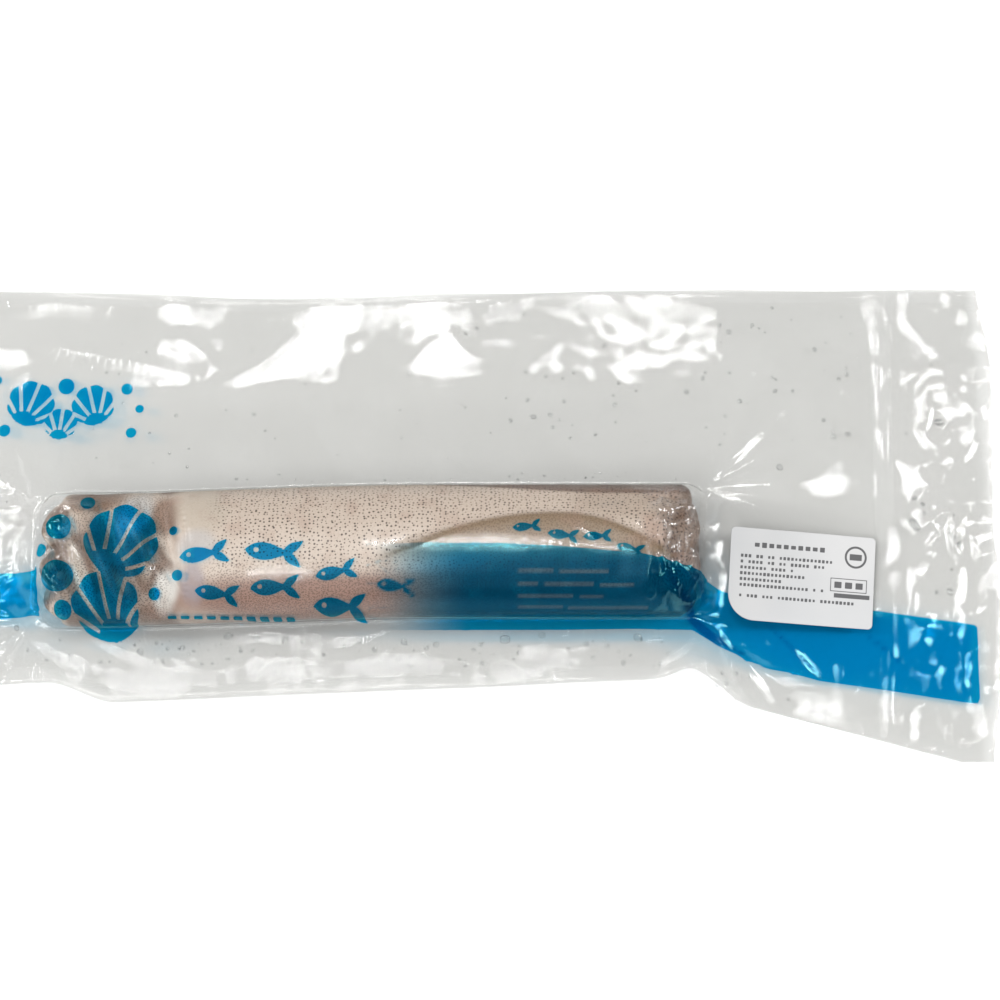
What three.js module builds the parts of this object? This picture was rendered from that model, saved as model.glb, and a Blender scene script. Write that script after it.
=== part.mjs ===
// A whole raw squid, vacuum packed in a clear printed bag with a paper sticker.
// Millimetres, +Z up. The pack lies flat with X along the squid, and the origin is
// on the table under the middle of the bag. The bag and what it holds are one solid.
import * as THREE from "three";
import { mergeVertices } from "three/addons/utils/BufferGeometryUtils.js";

// Driving dimensions
const BAG = {
  left: -225, // closed end of the bag
  right: 225, // furthest point of the trimmed end
  upper: 98.4, // upper long edge
  upperSag: 3.5, // how far that edge is drawn in beside the squid
  sagAt: -65,
  sagRun: 80,
  lower: -68.4, // lower long edge at mid length, drawn in by the squid's girth
  lowerTilt: 0.042, // its rise along the squid
  notch: 3.8, // tuck beside the squid's tail
  notchAt: 96,
  notchRun: 8,
  slackFrom: 110, // the slack end widens from here, by this much along its length
  slackFlare: 0.293,
  lowest: -98.4,
  sheet: 1.2, // both layers of the flat margin together
  sealAt: 178, // closing weld across the bag
  sealWidth: 8,
  sealRidge: 1.1,
};
// Bends of the lower edge along X, and of the trimmed end along Y
const LOWER_BENDS = [
  { from: -138, to: -166, by: 9 },
  { from: -190, to: -225, by: -12 },
  { from: 98, to: 122, by: -9.2 },
];
const TRIM_BENDS = [
  { from: -30, to: 0, by: -2.2 },
  { from: 62, to: 104, by: -5.2 },
  { from: -58, to: -98, by: -5 },
];
const SQUID = {
  left: -167,
  right: 100.5,
  halfWidth: 27.2,
  thickness: 45,
  seam: 20, // height at which the two layers meet beside the squid
  middleLeft: -18.2, // centre line across the bag, at the head and at the tail
  middleRight: -14.2,
  straightFrom: 160, // along the squid, where that line becomes straight
  leftCap: 15, // rounding of the two ends
  rightCap: 11,
};
// How far the margin takes to come down to the table, in each direction
const DROP = { left: 50, right: 84, lower: 42, upper: 52 };
const FIN = { peakX: 42, peakY: -1.7, headSpan: 74, tailSpan: 49, fall: 20, step: 1.8, left: -34, right: 96 };
const BACK_FIN = { left: 12, right: 99, inset: 0.8, step: 1.4 };
const HEAD = { collarX: -110, sink: 3.2, armPitch: 21, armRise: 2.1, lean: 0.45 };
const TAIL = { foldX: 81, foldLean: 0.3, foldRise: 2.2, foldWidth: 6 };
const LABEL = {
  x: 142.3,
  y: -23.9,
  width: 60,
  height: 38,
  corner: 2.5,
  turn: -3.8, // degrees
  paper: 0.35,
  gap: 0.35,
  lift: 8, // height of the margin under the middle of the sticker
  slope: -0.125, // fall of the margin along X under the sticker
  flatMargin: 9,
};
const FANS = [
  // Tension folds that spread from the corners of the squid
  { x: 102, y: -40, aim: -35, spread: 60, folds: 4, reach: 46, rise: 2.6 },
  { x: 102, y: 12, aim: 40, spread: 60, folds: 3, reach: 48, rise: 2.0 },
  { x: -169, y: -43, aim: 215, spread: 55, folds: 3, reach: 34, rise: 2.2 },
  { x: -169, y: 7, aim: 140, spread: 60, folds: 3, reach: 38, rise: 1.8 },
];
const COLUMNS = { left: 7, squid: 38, right: 22 };
const ROWS = { lower: 6, squid: 16, upper: 9 };

const lerp = THREE.MathUtils.lerp;
const smooth = (t) => THREE.MathUtils.smoothstep(t, 0, 1);
const bump = (t) => Math.exp(-t * t);
const wave = (t) => Math.sin(2 * Math.PI * t);
const bent = (t, bends) =>
  bends.reduce((sum, bend) => sum + bend.by * smooth((t - bend.from) / (bend.to - bend.from)), 0);

// Outline of the bag
function upperEdge(x) {
  return BAG.upper - BAG.upperSag * bump((x - BAG.sagAt) / BAG.sagRun);
}

function lowerEdge(x) {
  const besideSquid = BAG.lower + BAG.lowerTilt * x + BAG.notch * bump((x - BAG.notchAt) / BAG.notchRun);
  const slackEnd = BAG.slackFlare * Math.max(x - BAG.slackFrom, 0);
  return Math.max(besideSquid + bent(x, LOWER_BENDS) - slackEnd, BAG.lowest);
}

function rightEnd(y) {
  return BAG.right + bent(y, TRIM_BENDS);
}

// Plan of the squid
function squidMiddle(x) {
  return lerp(SQUID.middleLeft, SQUID.middleRight, smooth((x - SQUID.left) / SQUID.straightFrom));
}

// 0 along the middle of the squid, 1 where its sides and ends meet the seam
function squidReach(x, y) {
  const across = Math.abs(y - squidMiddle(x)) / SQUID.halfWidth;
  const toLeft = (SQUID.left + SQUID.leftCap - x) / SQUID.leftCap;
  const toRight = (x - SQUID.right + SQUID.rightCap) / SQUID.rightCap;
  const along = Math.max(toLeft, toRight, 0);
  return Math.pow(Math.pow(across, 4) + Math.pow(along, 4), 0.25);
}

function dome(reach, power) {
  return Math.pow(Math.max(1 - Math.pow(reach, power), 0), 1 / power);
}

// Low forms on the squid's upper side: fins, the lower head with its arms, the folded tail
function squidRelief(x, y) {
  const finSpan = x < FIN.peakX ? FIN.headSpan : FIN.tailSpan;
  const finEdge = FIN.peakY - FIN.fall * Math.pow((x - FIN.peakX) / finSpan, 2);
  const finEnds = smooth((x - FIN.left) / 12) * smooth((FIN.right - x) / 12);
  const fin = FIN.step * smooth((finEdge - y) / 5 + 0.5) * finEnds;

  const backLine = squidMiddle(x) + SQUID.halfWidth * BACK_FIN.inset;
  const backEnds = smooth((x - BACK_FIN.left) / 20) * smooth((BACK_FIN.right - x) / 8);
  const backFin = BACK_FIN.step * smooth((y - backLine) / 4 + 0.5) * backEnds;

  const head = smooth((HEAD.collarX - x) / 10 + 0.5);
  const arms = HEAD.armRise * wave((x + HEAD.lean * (y - squidMiddle(x))) / HEAD.armPitch);

  const tailLine = TAIL.foldX + TAIL.foldLean * (y - squidMiddle(x));
  const tail = TAIL.foldRise * bump((x - tailLine) / TAIL.foldWidth);
  return fin + backFin + head * (arms - HEAD.sink) + tail;
}

// Folds that run out from one corner of the squid
function fanFold(fan, x, y) {
  const dx = x - fan.x;
  const dy = y - fan.y;
  const distance = Math.hypot(dx, dy);
  const turned = THREE.MathUtils.radToDeg(Math.atan2(dy, dx)) - fan.aim;
  const angle = THREE.MathUtils.euclideanModulo(turned + 180, 360) - 180;
  const inside = smooth((fan.spread - Math.abs(angle)) / 25);
  const strength = smooth(distance / 10) * bump(distance / fan.reach) * inside;
  return fan.rise * strength * wave((angle / (2 * fan.spread)) * fan.folds);
}

// Middle height of the two layers outside the squid
function marginHeight(x, y) {
  const beyondLeft = Math.max(SQUID.left - x, 0) / DROP.left;
  const beyondRight = Math.max(x - SQUID.right, 0) / DROP.right;
  const offset = y - squidMiddle(x);
  const beside = Math.max(Math.abs(offset) - SQUID.halfWidth, 0) / (offset > 0 ? DROP.upper : DROP.lower);
  const away = Math.hypot(beyondLeft + beyondRight, beside);
  const drape = (SQUID.seam - BAG.sheet / 2) * Math.pow(Math.max(1 - away, 0), 2);
  const ripple = 1.5 + 0.9 * wave(x / 118 + y / 260) + 0.6 * wave(x / 61 - y / 140);
  const folds = FANS.reduce((sum, fan) => sum + fanFold(fan, x, y), 0);
  const seal = BAG.sealRidge * bump((x - BAG.sealAt) / (BAG.sealWidth / 2));
  const loose = drape + (ripple + seal) * smooth(away * 1.6) + folds;
  return BAG.sheet / 2 + Math.max(lerp(loose, labelPlane(x), labelHold(x, y)), 0);
}

// The sticker's stiff paper holds the film under it flat
function labelPlane(x) {
  return LABEL.lift + LABEL.slope * (x - LABEL.x);
}

function labelHold(x, y) {
  const overX = (Math.abs(x - LABEL.x) - LABEL.width / 2 - LABEL.flatMargin) / 8;
  const overY = (Math.abs(y - LABEL.y) - LABEL.height / 2 - LABEL.flatMargin) / 10;
  return (1 - smooth(overX)) * (1 - smooth(overY));
}

// Height of the upper or lower surface of the filled bag
function bagHeight(x, y, isTop) {
  const half = BAG.sheet / 2;
  const reach = squidReach(x, y);
  if (reach >= 1) {
    return marginHeight(x, y) + (isTop ? half : -half);
  }
  if (isTop) {
    const body = (SQUID.thickness - SQUID.seam - half) * dome(reach, 2.5);
    return SQUID.seam + half + body + squidRelief(x, y) * (1 - Math.pow(reach, 5));
  }
  return Math.max((SQUID.seam - half) * (1 - 1.08 * dome(reach, 4)), 0);
}

// Grid lines: closer together where the sides of the squid are steep
function columnAt(index) {
  const inSquid = index - COLUMNS.left;
  if (inSquid < 0) {
    return lerp(BAG.left, SQUID.left, index / COLUMNS.left);
  }
  if (inSquid > COLUMNS.squid) {
    return lerp(SQUID.right, BAG.right, (inSquid - COLUMNS.squid) / COLUMNS.right);
  }
  const even = (2 * inSquid) / COLUMNS.squid - 1;
  const share = lerp(even, Math.sin((even * Math.PI) / 2), 0.55);
  return lerp(SQUID.left, SQUID.right, (share + 1) / 2);
}

function rowAt(index, x) {
  const middle = squidMiddle(x);
  const inSquid = index - ROWS.lower;
  if (inSquid < 0) {
    return lerp(lowerEdge(x), middle - SQUID.halfWidth, index / ROWS.lower);
  }
  if (inSquid > ROWS.squid) {
    return lerp(middle + SQUID.halfWidth, upperEdge(x), (inSquid - ROWS.squid) / ROWS.upper);
  }
  const even = (2 * inSquid) / ROWS.squid - 1;
  return middle + SQUID.halfWidth * lerp(even, Math.sin((even * Math.PI) / 2), 0.8);
}

// Moves a station right of the squid so that the last column follows the trimmed end
function trimmed(x, y) {
  const share = Math.max(x - SQUID.right, 0) / (BAG.right - SQUID.right);
  return x + (rightEnd(y) - BAG.right) * share;
}

function filledBag() {
  const columns = COLUMNS.left + COLUMNS.squid + COLUMNS.right;
  const rows = ROWS.lower + ROWS.squid + ROWS.upper;
  const block = new THREE.BoxGeometry(1, 1, 1, columns, rows, 1);
  block.deleteAttribute("normal");
  block.deleteAttribute("uv");
  const geometry = mergeVertices(block);
  const places = geometry.getAttribute("position");
  for (let i = 0; i < places.count; i += 1) {
    const station = columnAt(Math.round((places.getX(i) + 0.5) * columns));
    const y = rowAt(Math.round((places.getY(i) + 0.5) * rows), station);
    const x = trimmed(station, y);
    places.setXYZ(i, x, y, bagHeight(x, y, places.getZ(i) > 0));
  }
  const film = new THREE.MeshStandardMaterial({ color: 0xcdbcae, roughness: 0.25, metalness: 0 });
  const mesh = new THREE.Mesh(geometry, film);
  mesh.name = "sealed_bag";
  return mesh;
}

function stickerOutline() {
  const w = LABEL.width / 2;
  const h = LABEL.height / 2;
  const r = LABEL.corner;
  const outline = new THREE.Shape();
  outline.moveTo(-w + r, -h);
  outline.lineTo(w - r, -h);
  outline.absarc(w - r, -h + r, r, -Math.PI / 2, 0);
  outline.lineTo(w, h - r);
  outline.absarc(w - r, h - r, r, 0, Math.PI / 2);
  outline.lineTo(-w + r, h);
  outline.absarc(-w + r, h - r, r, Math.PI / 2, Math.PI);
  outline.lineTo(-w, -h + r);
  outline.absarc(-w + r, -h + r, r, Math.PI, 1.5 * Math.PI);
  return outline;
}

function sticker() {
  const plate = { depth: LABEL.paper, bevelEnabled: false, curveSegments: 5 };
  const geometry = new THREE.ExtrudeGeometry(stickerOutline(), plate);
  const paper = new THREE.MeshStandardMaterial({ color: 0xe6e6e4, roughness: 0.6, metalness: 0 });
  const mesh = new THREE.Mesh(geometry, paper);
  mesh.name = "label";
  mesh.rotation.z = THREE.MathUtils.degToRad(LABEL.turn);
  const lying = new THREE.Group();
  lying.position.set(LABEL.x, LABEL.y, LABEL.lift + BAG.sheet + LABEL.gap);
  lying.rotation.y = -Math.atan(LABEL.slope);
  lying.add(mesh);
  return lying;
}

const pack = new THREE.Group();
pack.add(filledBag(), sticker());

export default pack;
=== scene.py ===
# A whole raw squid, vacuum packed in a clear printed bag with a paper sticker.
# Shapes are worked out in millimetres, and a finished mesh is scaled to metres.
import math
import random

import bmesh
import bpy
import numpy as np
from mathutils import Matrix, Vector, noise


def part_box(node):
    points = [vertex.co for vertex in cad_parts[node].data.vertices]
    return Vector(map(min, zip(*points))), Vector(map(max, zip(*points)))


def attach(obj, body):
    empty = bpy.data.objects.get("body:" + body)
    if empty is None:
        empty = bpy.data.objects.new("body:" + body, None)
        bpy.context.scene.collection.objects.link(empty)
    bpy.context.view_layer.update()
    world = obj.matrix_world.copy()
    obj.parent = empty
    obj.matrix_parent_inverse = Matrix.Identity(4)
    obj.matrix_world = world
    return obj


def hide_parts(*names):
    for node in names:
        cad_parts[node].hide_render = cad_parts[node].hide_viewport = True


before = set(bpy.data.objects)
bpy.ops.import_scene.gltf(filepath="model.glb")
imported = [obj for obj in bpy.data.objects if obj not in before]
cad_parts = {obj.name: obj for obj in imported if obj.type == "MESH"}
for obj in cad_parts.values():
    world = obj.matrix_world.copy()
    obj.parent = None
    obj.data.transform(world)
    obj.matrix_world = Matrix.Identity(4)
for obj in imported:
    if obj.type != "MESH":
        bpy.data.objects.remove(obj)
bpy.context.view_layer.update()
scene = bpy.context.scene
mm = 0.001
outside = -5.0  # distance from the print, for faces that have none
print("frame loaded:", sorted(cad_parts))


# Small curves that the shapes share

def smooth(t):
    t = np.clip(t, 0.0, 1.0)
    return t * t * (3.0 - 2.0 * t)


def bump(t):
    return np.exp(-np.square(t))


def wave(t):
    return np.sin(2.0 * np.pi * t)


def blendTo(a, b, t):
    return a + (b - a) * t


def bent(t, bends):
    return sum(by * smooth((t - start) / (end - start)) for start, end, by in bends)


def stepUp(t, run):  # from 0 to 1 across a line
    return smooth(t / run + 0.5)


def within(x, ends, runs):  # 1 between two ends, fading out inside them
    return smooth((x - ends[0]) / runs[0]) * smooth((ends[1] - x) / runs[1])


layers = {  # a layer of the noise for each use, so that no two clouds are alike
    "sag": 3.0,
    "dent": 7.0,
    "tail": 11.0,
    "ends": 13.0,
    "weld": 15.0,
    "cling": 17.0,
    "lift": 19.0,
    "skin": 21.0,
    "gap": 23.0,
    "web": 27.0,
    "label": 29.0,
    "mottle": 31.0,
}


def cloud(x, y, pitch, layer):  # smooth random heights, about -1 to 1, the same each run
    depth = layers[layer]
    return np.array([noise.noise(Vector((a / pitch, b / pitch, depth))) for a, b in zip(x, y)])


def crumple(x, y, pitch, layer, sharpness=2.4):  # sharp random ridges, 0 to 1
    return np.maximum(1.0 - sharpness * np.abs(cloud(x, y, pitch, layer)), 0.0) ** 2


def curvePoints(curve, count):  # points along a bend through start, middle pull and end
    t = np.linspace(0.0, 1.0, count)
    (ax, ay), (bx, by), (cx, cy) = curve
    px = (1 - t) ** 2 * ax + 2 * t * (1 - t) * bx + t * t * cx
    py = (1 - t) ** 2 * ay + 2 * t * (1 - t) * by + t * t * cy
    return t, px, py


# 1 on the crease's line, fading beside it and to its ends
def creaseAt(x, y, curve, width, steps=25, soft=0.35, fullness=0.7):
    away = np.full(x.shape, 1e6)
    place = np.zeros(x.shape)
    for t, px, py in zip(*curvePoints(curve, steps)):
        gap = np.hypot(x - px, y - py)
        nearer = gap < away
        away[nearer] = gap[nearer]
        place[nearer] = t
    crest = np.exp(-(np.hypot(away, soft) - soft) / width)
    return crest * np.sin(np.pi * place) ** fullness


# Bag: the outline and the drape that the CAD solid has

bagLow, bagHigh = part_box("sealed_bag")
bag = {
    "left": bagLow.x / mm,
    "right": bagHigh.x / mm,
    "upper": bagHigh.y / mm,
    "lowest": bagLow.y / mm,
    "upperSag": (3.5, -65.0, 80.0),  # depth, place along the bag, run
    "lower": -68.4,
    "lowerTilt": 0.042,
    "notch": (3.8, 96.0, 8.0),
    "slackFrom": 110.0,
    "slackFlare": 0.293,
    "lowerBends": [(-138.0, -166.0, 9.0), (-190.0, -225.0, -12.0), (98.0, 122.0, -9.2)],
    "trimBends": [(-30.0, 0.0, -2.2), (62.0, 104.0, -5.2), (-58.0, -98.0, -5.0)],
    "sheet": 1.2,
    "sealAt": 178.0,  # the closing weld
    "sealWidth": 8.0,
    "sealRidge": 0.5,
    "dropLeft": 50.0,  # how far the margin takes to come down to the table
    "dropRight": 84.0,
    "dropLower": 42.0,
    "dropUpper": 52.0,
}
squid = {
    "left": -167.0,
    "right": 100.5,
    "halfWidth": 27.2,
    "thickness": 45.0,
    "seam": 20.0,  # height at which the two layers of the bag meet beside the squid
    "middleLeft": -18.2,
    "middleRight": -14.2,
    "straightFrom": 160.0,
    "leftCap": 15.0,
    "rightCap": 11.0,
    "planCorner": 4,  # how square the block is: in plan, above and below
    "topCorner": 2.5,
    "underCorner": 4,
    "underFlat": 1.08,  # more than 1 presses the underside flat on the table
    "reliefFade": 5,
}
label = {
    "x": 142.3,
    "y": -23.9,
    "width": 60.0,
    "height": 38.0,
    "turn": -3.8,
    "lift": 8.0,
    "slope": -0.125,
    "flatMargin": (2.0, 3.0),  # around the sticker, along and across the bag
    "flatRun": (16.0, 14.0),  # over which the film leaves the sticker's plane
    "waver": (5.0, 0.3, 7.0),  # of that run: depth, squash along the bag, pitch
}


def upperEdge(x):
    depth, place, run = bag["upperSag"]
    return bag["upper"] - depth * bump((x - place) / run)


def lowerEdge(x):
    depth, place, run = bag["notch"]
    besideSquid = bag["lower"] + bag["lowerTilt"] * x + depth * bump((x - place) / run)
    slackEnd = bag["slackFlare"] * np.maximum(x - bag["slackFrom"], 0.0)
    return np.maximum(besideSquid + bent(x, bag["lowerBends"]) - slackEnd, bag["lowest"])


def trimmedEnd(y):
    return bag["right"] + bent(y, bag["trimBends"])


def squidMiddle(x):
    straight = smooth((x - squid["left"]) / squid["straightFrom"])
    return blendTo(squid["middleLeft"], squid["middleRight"], straight)


def squidReach(x, y):  # 0 along the squid's middle, 1 where its sides and ends meet the seam
    across = np.abs(y - squidMiddle(x)) / squid["halfWidth"]
    toLeft = (squid["left"] + squid["leftCap"] - x) / squid["leftCap"]
    toRight = (x - squid["right"] + squid["rightCap"]) / squid["rightCap"]
    along = np.maximum(np.maximum(toLeft, toRight), 0.0)
    corner = squid["planCorner"]
    return (across ** corner + along ** corner) ** (1.0 / corner)


def dome(reach, power):
    return np.maximum(1.0 - reach ** power, 0.0) ** (1.0 / power)


forms = {  # low forms on the squid's upper side, as in the CAD solid
    "finPeak": (42.0, -1.7),
    "finSpans": (74.0, 49.0),  # towards the head and the tail
    "finFall": 20.0,
    "finStep": 1.8,
    "finRun": 5.0,
    "finEnds": (-34.0, 96.0),
    "finTaper": (12.0, 12.0),
    "backInset": 0.8,
    "backStep": 1.4,
    "backRun": 4.0,
    "backEnds": (12.0, 99.0),
    "backTaper": (20.0, 8.0),
    "collarX": -110.0,
    "collarRun": 10.0,
    "headSink": 3.2,
    "armPitch": 21.0,
    "armRise": 2.1,
    "armLean": 0.45,
    "tailFold": (81.0, 0.3, 2.2, 6.0),  # place, lean, rise, width
}


def finEdge(x):
    peakX, peakY = forms["finPeak"]
    span = np.where(x < peakX, *forms["finSpans"])
    return peakY - forms["finFall"] * ((x - peakX) / span) ** 2


def squidRelief(x, y):
    fin = stepUp(finEdge(x) - y, forms["finRun"]) * within(x, forms["finEnds"], forms["finTaper"])
    backLine = squidMiddle(x) + squid["halfWidth"] * forms["backInset"]
    backFin = stepUp(y - backLine, forms["backRun"]) * within(x, forms["backEnds"], forms["backTaper"])
    head = stepUp(forms["collarX"] - x, forms["collarRun"])
    across = y - squidMiddle(x)
    arms = forms["armRise"] * wave((x + forms["armLean"] * across) / forms["armPitch"])
    place, lean, rise, width = forms["tailFold"]
    tail = rise * bump((x - place - lean * across) / width)
    return fin * forms["finStep"] + backFin * forms["backStep"] + head * (arms - forms["headSink"]) + tail


# Film: both layers of the bag as one closed surface, drawn down over the squid

film = {
    "columns": (24, 113, 53),  # of the lower layer: left of the squid, along it, right of it
    "rows": (11, 25, 27),  # below the squid, across it, above it
    "halved": [  # x range, y range: the upper layer's cells are halved here, and again under the print
        ((-300.0, 300.0), (-200.0, 200.0)),
        ((-166.0, -18.0), (-52.0, 6.0)),
        ((20.0, 82.0), (-42.0, -4.0)),
        ((-196.0, -126.0), (30.0, 64.0)),
    ],
    "lowerFolds": 0.85,  # share of each fold that the lower layer takes up
    "closer": 0.6,  # how much closer the grid lines stand at the squid's sides
    "weldGap": 0.5,  # between the two layers at the welded edges
    "weldEdge": (5.0, 6.0),  # the layers part this far from the edge, over this run
    "weldLook": (6.5, 1.0),  # the weld shows to here, and fades over this run
    "looseness": 1.6,  # how soon the margin is loose, going away from the squid
    "rippleLevel": 1.5,
    "ripples": [(0.9, 118.0, 260.0), (0.6, 61.0, -140.0)],  # rise, length along and across the bag
    "sags": [(0.5, 26.0, "sag"), (0.22, 9.0, "dent")],  # rise, pitch, layer
    "pucker": (1.2, 5.0, 0.4, 12.0, -0.2),  # closing weld: rise, along, across, pitch, floor
    "fanFade": (25.0, 10.0),  # degrees at a fan's sides, length at its foot
    "fans": [  # x, y, aim, spread, folds, reach, rise: tension folds from the squid's corners
        (102.0, -40.0, -35.0, 60.0, 4, 46.0, 2.6),
        (102.0, 12.0, 40.0, 60.0, 3, 48.0, 1.6),
        (-169.0, -43.0, 215.0, 55.0, 3, 34.0, 2.2),
        (-169.0, 7.0, 140.0, 60.0, 3, 38.0, 1.8),
        (102.0, -40.0, -40.0, 75.0, 11, 30.0, 0.9),
        (102.0, 12.0, 45.0, 70.0, 9, 30.0, 0.7),
        (-169.0, -43.0, 210.0, 70.0, 9, 26.0, 1.0),
        (-169.0, 7.0, 140.0, 70.0, 9, 26.0, 0.8),
        (-167.0, -18.0, 180.0, 50.0, 7, 30.0, 1.1),
        (100.0, -14.0, 0.0, 45.0, 6, 16.0, 0.8),
    ],
    "folds": [  # curve, width, rise: single folds of the loose film
        (((-178, 77), (-145, 70), (-101, 60)), 3.0, 2.2),
        (((-102, 60), (-88, 57), (-64, 82)), 2.6, 2.0),
        (((-127, 77), (-106, 81), (-100, 62)), 2.6, 2.0),
        (((-200, 80), (-190, 70), (-178, 74)), 2.6, 1.8),
        (((-188, 92), (-166, 95), (-142, 91)), 4.0, 2.4),
        (((-132, 93), (-120, 91), (-108, 93)), 3.6, 2.2),
        (((-72, 92), (-25, 90), (28, 96)), 5.0, 2.8),
        (((-104, -62), (-74, -40), (-46, -62)), 2.4, 2.0),
        (((-62, -45), (-50, -62), (-18, -43)), 1.6, 1.8),
        (((37, -44), (38, -52), (62, -46)), 1.2, 1.4),
        (((38, -51), (36, -57), (30, -61)), 1.2, 1.0),
        (((-124, -43), (-124, -49), (-123, -56)), 1.0, 1.8),
        (((-24, -43.5), (30, -43), (84, -45)), 0.9, 1.2),
        (((101, 7), (103, 20), (110, 34)), 1.6, 1.8),
        (((150, 70), (144, 54), (118, 32)), 5.0, 1.3),
        (((60, 20), (66, 34), (60, 46)), 4.0, 0.8),
        (((-150, -48), (-140, -57), (-120, -61)), 1.6, 1.2),
        (((-176, -46), (-166, -57), (-150, -63)), 2.0, 1.5),
        (((-205, 9), (-190, 3), (-170, -1)), 2.0, 1.7),
        (((-215, -23), (-195, -27), (-168, -25)), 1.8, 1.6),
        (((-214, -35), (-195, -31), (-170, -35)), 1.6, 1.4),
        (((102, -45), (122, -55), (150, -64)), 1.3, 1.5),
        (((126, -56), (140, -60), (152, -68)), 1.6, 1.5),
        (((124, -42), (137, -54), (150, -66)), 0.9, 1.6),
        (((104, -38), (114, -48), (130, -58)), 1.0, 1.5),
        (((166, -46), (176, -52), (186, -60)), 0.9, 1.2),
        (((135, -47), (140, -54), (147, -65)), 0.9, 1.2),
        (((110, -59), (113, -62), (117, -67)), 1.3, 1.4),
        (((98, -48), (96, -56), (84, -60)), 1.4, 1.4),
        (((94, -47), (86, -51), (76, -51)), 1.2, 1.2),
        (((156, -57), (159, -62), (157, -67)), 1.0, 1.0),
        (((184, 24), (192, 28), (202, 18)), 1.8, 1.8),
        (((184, 6), (188, -2), (195, -6)), 1.6, 1.8),
        (((191, -4), (200, 4), (207, 6)), 2.2, 2.4),
        (((204, 7), (208, -2), (206, -13)), 1.8, 2.2),
        (((213, -3), (217, -10), (218, -21)), 1.6, 1.8),
        (((185, -39), (193, -45), (203, -44)), 1.8, 1.8),
        (((189, -62), (203, -64), (219, -68)), 1.6, 1.8),
        (((184, -68), (190, -74), (196, -70)), 1.4, 1.4),
        (((196, 62), (204, 54), (214, 58)), 2.4, 1.4),
    ],
    "clingFolds": [  # the same, where the film lies on the squid
        (((-38, -14.3), (8, -13.8), (50, -15.0)), 1.6, 0.06),
        (((46, -15.0), (60, -15.8), (78, -18.8)), 0.9, 0.3),
        (((-82, -27), (-66, -25), (-54, -27)), 1.6, 0.3),
        (((-167, 0), (-155, 3), (-143, 1)), 1.0, 1.2),
        (((-162, 0), (-158, -8), (-152, -22)), 0.8, 1.1),
        (((-151, -14), (-148, -24), (-142, -38)), 1.2, 0.8),
        (((-122, -27), (-119, -25), (-117, -24)), 0.7, 0.8),
        (((58, 1.5), (63, 0.5), (69, 3)), 0.7, 0.8),
        (((73, -4), (76, -9), (80, -15)), 0.7, 1.0),
        (((49, -7), (53, -9), (58, -13)), 0.7, 0.8),
        (((82, -17), (86, -28), (91, -43)), 1.2, 1.9),
        (((89, -23), (94, -30), (92, -36)), 0.7, 0.9),
        (((71, 11), (84, 4), (98, 9)), 0.9, 1.0),
        (((76, 3), (88, -3), (99, 3)), 0.8, 0.9),
        (((80, 12), (88, 0), (85, -13)), 0.8, 0.8),
    ],
    "tail": (184.0, 8.0, 1.6, 13.0),  # the loose end is the most crumpled: from, run, rise, pitch
    "endCrumple": (1.8, 6.0),  # fine ridges around the squid's two ends: rise, pitch
    "ends": [(-182.0, 14.0), (106.0, 8.0)],  # of these ridges on the margin: place, run
    "endShare": 0.7,
    "endAcross": (-16.0, 30.0),
    "clingEnds": (72.0, 14.0, -150.0, 12.0, 0.8),  # on the squid: tail, run, head, run, head's share
    "endGap": (2.4, 0.5, 0.9, 6.0, 12.0),  # film off the squid's ends: most, level, waver, pitch, run
    "bridge": (13.0, 7.0, 8.0),  # webs of film from the squid's ends to the margin: rise, run, pitch
    "bridgeWeb": (0.25, 0.35, 9.0),  # least share, squash along the bag, fade at its sides
    "rim": 0.1,  # share of the squid's reach over which wrinkles begin
    "tightRim": 0.06,  # the same for the tight film
    "liftWaver": (0.7, 5.0),  # around folds that lift the film off the skin: share, pitch
    "liftHigh": (0.5, 0.25),  # film higher than this is looser by this much
    "liftFull": 0.35,
}


def foldsAt(x, y, folds):
    return sum(rise * creaseAt(x, y, curve, width) for curve, width, rise in folds)


def fanFold(x, y, fan):
    fanX, fanY, aim, spread, folds, reach, rise = fan
    away = np.hypot(x - fanX, y - fanY)
    angle = np.degrees(np.arctan2(y - fanY, x - fanX)) - aim
    angle = (angle + 180.0) % 360.0 - 180.0
    atSides, atFoot = film["fanFade"]
    inside = smooth((spread - np.abs(angle)) / atSides)
    strength = rise * smooth(away / atFoot) * bump(away / reach) * inside
    return strength * wave(angle / (2.0 * spread) * folds)


def labelPlane(x):
    return label["lift"] + label["slope"] * (x - label["x"])


def labelHold(x, y):
    (marginX, marginY), (runX, runY) = label["flatMargin"], label["flatRun"]
    depth, squash, pitch = label["waver"]
    uneven = depth * cloud(squash * x, y, pitch, "label")
    overX = (np.abs(x - label["x"]) - label["width"] / 2 - marginX + uneven) / runX
    overY = (np.abs(y - label["y"]) - label["height"] / 2 - marginY) / runY
    return (1.0 - smooth(overX)) * (1.0 - smooth(overY))


def edgeDistance(x, y):  # from the nearest cut edge of the bag
    sides = np.minimum(upperEdge(x) - y, y - lowerEdge(x))
    return np.minimum(sides, np.minimum(x - bag["left"], trimmedEnd(y) - x))


def bridgeHeight(x, y):  # film that spans the corner between the squid's ends and the margin
    rise, run, pitch = film["bridge"]
    least, squash, fade = film["bridgeWeb"]
    web = least + (1.0 - least) * crumple(squash * x, y, pitch, "web")
    inside = smooth((squid["halfWidth"] - np.abs(y - squidMiddle(x))) / fade)
    return rise * web * inside * (bump((x - squid["right"]) / run) + bump((x - squid["left"]) / run))


def ripple(x, y):  # slow waves of the loose margin
    height = film["rippleLevel"]
    for rise, along, across in film["ripples"]:
        height = height + rise * wave(x / along + y / across)
    return height


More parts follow.
